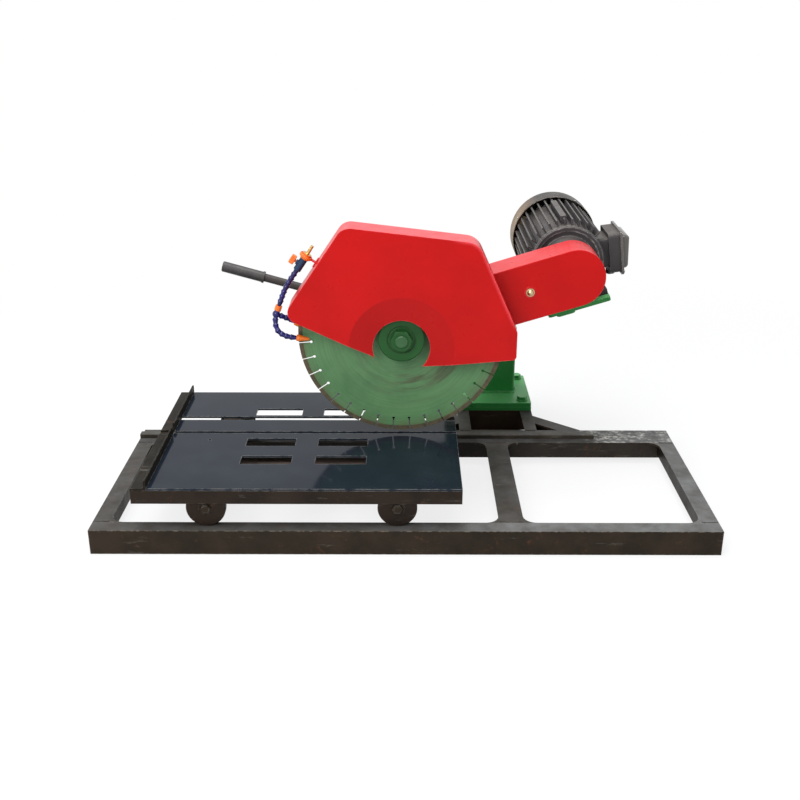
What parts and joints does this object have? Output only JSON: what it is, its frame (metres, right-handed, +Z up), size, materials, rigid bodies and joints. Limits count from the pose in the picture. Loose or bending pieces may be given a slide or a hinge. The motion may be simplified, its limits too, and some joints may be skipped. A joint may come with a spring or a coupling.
{
  "type": "stone cutting machine",
  "caption": "Stone cutting machine: a guarded, belt-driven diamond blade on a tilting arm and column, over a slotted table that rolls on a floor frame of angle iron.",
  "frame": {"origin": "middle of the floor rectangle that the machine covers, at floor level", "axes": "+X along the rail, from the fence end of the table to the free end of the frame; +Y from the operator's side to the column; +Z up"},
  "size_m": [1.404, 0.914, 0.6738],
  "materials": {
    "frame_paint": "worn dark brown enamel",
    "rail_steel": "bare flat bar, worn bright on top",
    "green_paint": "gloss green enamel",
    "red_paint": "gloss red enamel",
    "table_paint": "smooth slate-grey enamel",
    "motor_paint": "dark grey enamel",
    "blade_paint": "green lacquer, scuffed in rings",
    "segment_metal": "rough sintered metal",
    "flange_paint": "dark green enamel",
    "zinc_steel": "zinc plated",
    "ground_steel": "ground",
    "bearing_steel": "polished",
    "bronze": "turned",
    "brass": "polished",
    "cast_iron": "cast, turned on the working faces",
    "belt_rubber": "matt",
    "handle_steel": "dark grey enamel",
    "grip_rubber": "matt",
    "hose_blue": "moulded",
    "fitting_orange": "moulded",
    "valve_plastic": "moulded"
  },
  "bodies": {
    "base": {"front_beam": "frame_paint", "rear_beam": "frame_paint", "left_beam": "frame_paint", "right_beam": "frame_paint", "cross_beam": "frame_paint", "corner_gussets": "frame_paint", "rear_rail": "rail_steel", "outrigger": "frame_paint", "column_pads": "green_paint", "column_base_plate": "green_paint", "column_tube": "green_paint", "column_bolts": "flange_paint", "pivot_bracket": "green_paint", "pivot_shaft": "ground_steel"},
    "head": {"arm_plate": "green_paint", "pivot_block": "green_paint", "pivot_bushes": "bronze", "spindle_cheeks": "green_paint", "spindle_housing": "green_paint", "spindle_bearings": "bearing_steel", "handle_rod": "handle_steel", "handle_grip": "grip_rubber", "belt_cover": "red_paint", "cover_back_plate": "red_paint", "cover_dome_nut": "brass", "blade_guard": "red_paint", "head_bolts": "zinc_steel", "motor_plate": "green_paint", "motor_body": "motor_paint", "motor_shields": "motor_paint", "fan_cowl": "motor_paint", "terminal_box": "motor_paint", "terminal_lid": "motor_paint", "drive_belts": "belt_rubber", "hose_bracket": "red_paint", "water_valve": "valve_plastic", "hose_links": "hose_blue", "hose_fittings": "fitting_orange"},
    "spindle": {"spindle_shaft": "ground_steel", "spindle_pulley": "cast_iron", "inner_flange": "flange_paint", "outer_flange": "flange_paint", "arbor_nut": "flange_paint", "blade_core": "blade_paint", "blade_segments": "segment_metal"},
    "rotor": {"motor_rotor": "ground_steel", "motor_pulley": "cast_iron", "cooling_fan": "valve_plastic"},
    "lever": {"valve_lever": "fitting_orange"},
    "trolley": {"front_table_plate": "table_paint", "centre_table_strip": "table_paint", "rear_table_plate": "table_paint", "table_edging": "table_paint", "table_bearers": "table_paint", "fence_angles": "table_paint", "axle_gear": "frame_paint"},
    "wheel_fl": {"wheel_front_left": "cast_iron"},
    "wheel_fr": {"wheel_front_right": "cast_iron"},
    "wheel_rl": {"wheel_rear_left": "cast_iron"},
    "wheel_rr": {"wheel_rear_right": "cast_iron"}
  },
  "joints": [
    {"name": "head_tilt", "type": "hinge", "parent": "base", "child": "head", "pos_m": [0.25, -0.135, 0.31444], "axis": [0, 1, 0], "range_deg": [-3, 30]},
    {"name": "blade_spin", "type": "hinge", "parent": "head", "child": "spindle", "pos_m": [-0.01, -0.135, 0.408], "axis": [0, 1, 0], "continuous": true},
    {"name": "motor_spin", "type": "hinge", "parent": "head", "child": "rotor", "pos_m": [0.402, -0.135, 0.535], "axis": [0, 1, 0], "continuous": true},
    {"name": "trolley_roll", "type": "slide", "parent": "base", "child": "trolley", "axis": [1, 0, 0], "range_m": [-0.1, 0.48]},
    {"name": "lever_turn", "type": "hinge", "parent": "head", "child": "lever", "pos_m": [-0.24253, -0.135, 0.57786], "axis": [-0.8271, 0, 0.562], "range_deg": [0, 90]},
    {"name": "wheel_fl_spin", "type": "hinge", "parent": "trolley", "child": "wheel_fl", "pos_m": [-0.442, -0.435, 0.1033], "axis": [0, 1, 0], "range_deg": [-150, 645]},
    {"name": "wheel_fr_spin", "type": "hinge", "parent": "trolley", "child": "wheel_fr", "pos_m": [-0.018, -0.435, 0.1033], "axis": [0, 1, 0], "range_deg": [-150, 645]},
    {"name": "wheel_rl_spin", "type": "hinge", "parent": "trolley", "child": "wheel_rl", "pos_m": [-0.442, 0.0382, 0.1033], "axis": [0, 1, 0], "range_deg": [-194, 853]},
    {"name": "wheel_rr_spin", "type": "hinge", "parent": "trolley", "child": "wheel_rr", "pos_m": [-0.018, 0.0382, 0.1033], "axis": [0, 1, 0], "range_deg": [-194, 853]}
  ],
  "couplings": [
    {"joint": "motor_spin", "follows": "blade_spin", "ratio": 1.2791},
    {"joint": "wheel_fl_spin", "follows": "trolley_roll", "rad_per_m": 22.727},
    {"joint": "wheel_fr_spin", "follows": "trolley_roll", "rad_per_m": 22.727},
    {"joint": "wheel_rl_spin", "follows": "trolley_roll", "rad_per_m": 30.303},
    {"joint": "wheel_rr_spin", "follows": "trolley_roll", "rad_per_m": 30.303}
  ]
}
